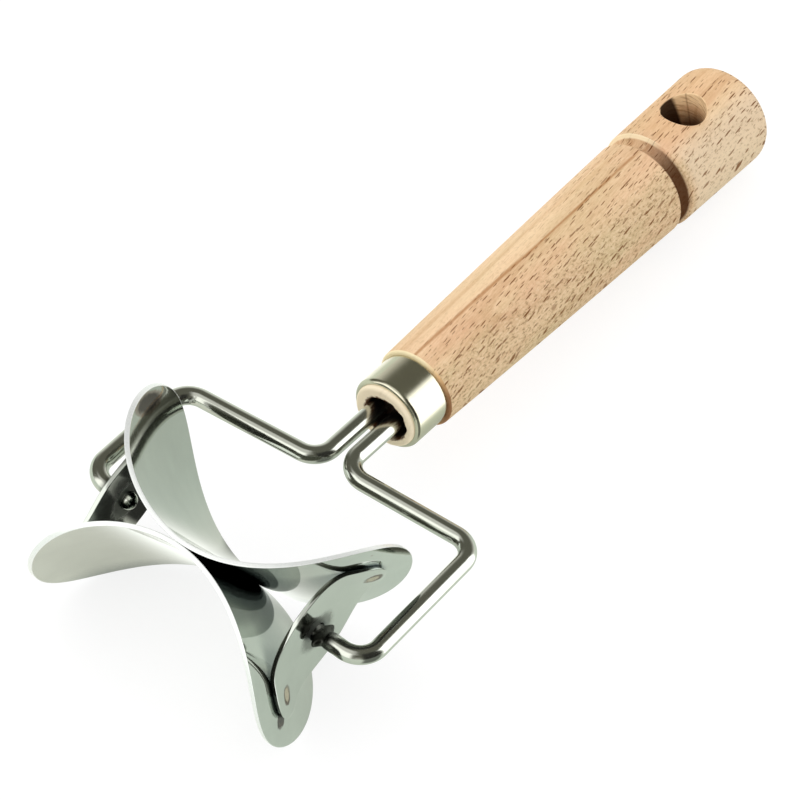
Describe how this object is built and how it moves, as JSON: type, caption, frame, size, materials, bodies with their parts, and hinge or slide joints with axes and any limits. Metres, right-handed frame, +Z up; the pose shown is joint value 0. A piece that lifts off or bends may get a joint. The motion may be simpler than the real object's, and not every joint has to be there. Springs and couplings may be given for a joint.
{
  "type": "rolling clay cutter",
  "caption": "Hand-held rolling cutter for clay: saddle-shaped sheet blades spin on a bent wire fork set in a turned wooden handle with a plated ferrule.",
  "frame": {"origin": "centre of the hanging hole, on the handle's axis", "axes": "+X along the roller's spin axis to the right, +Y along the handle towards its butt, +Z up, square to the plane of the fork"},
  "size_m": [0.0753, 0.1973, 0.0468],
  "materials": {
    "beech": "bare turned beech, lightly oiled",
    "ferrule_plate": "warm nickel plate, polished",
    "adhesive": "dark hardened glue",
    "fork_steel": "bright plated steel wire",
    "blade_steel": "polished stainless sheet with bright ground edges",
    "plate_steel": "polished stainless sheet with straw-brown weld tint"
  },
  "bodies": {
    "fork_and_handle": {"handle": "beech", "ferrule": "ferrule_plate", "bore_adhesive": "adhesive", "left_fork_wire": "fork_steel", "right_fork_wire": "fork_steel"},
    "roller": {"cutter_blade_a": "blade_steel", "cutter_blade_b": "blade_steel", "left_end_plate": "plate_steel", "right_end_plate": "plate_steel"}
  },
  "joints": [
    {"name": "roller_spin", "type": "hinge", "parent": "fork_and_handle", "child": "roller", "pos_m": [0, -0.1556, 0], "axis": [1, 0, 0], "continuous": true}
  ]
}
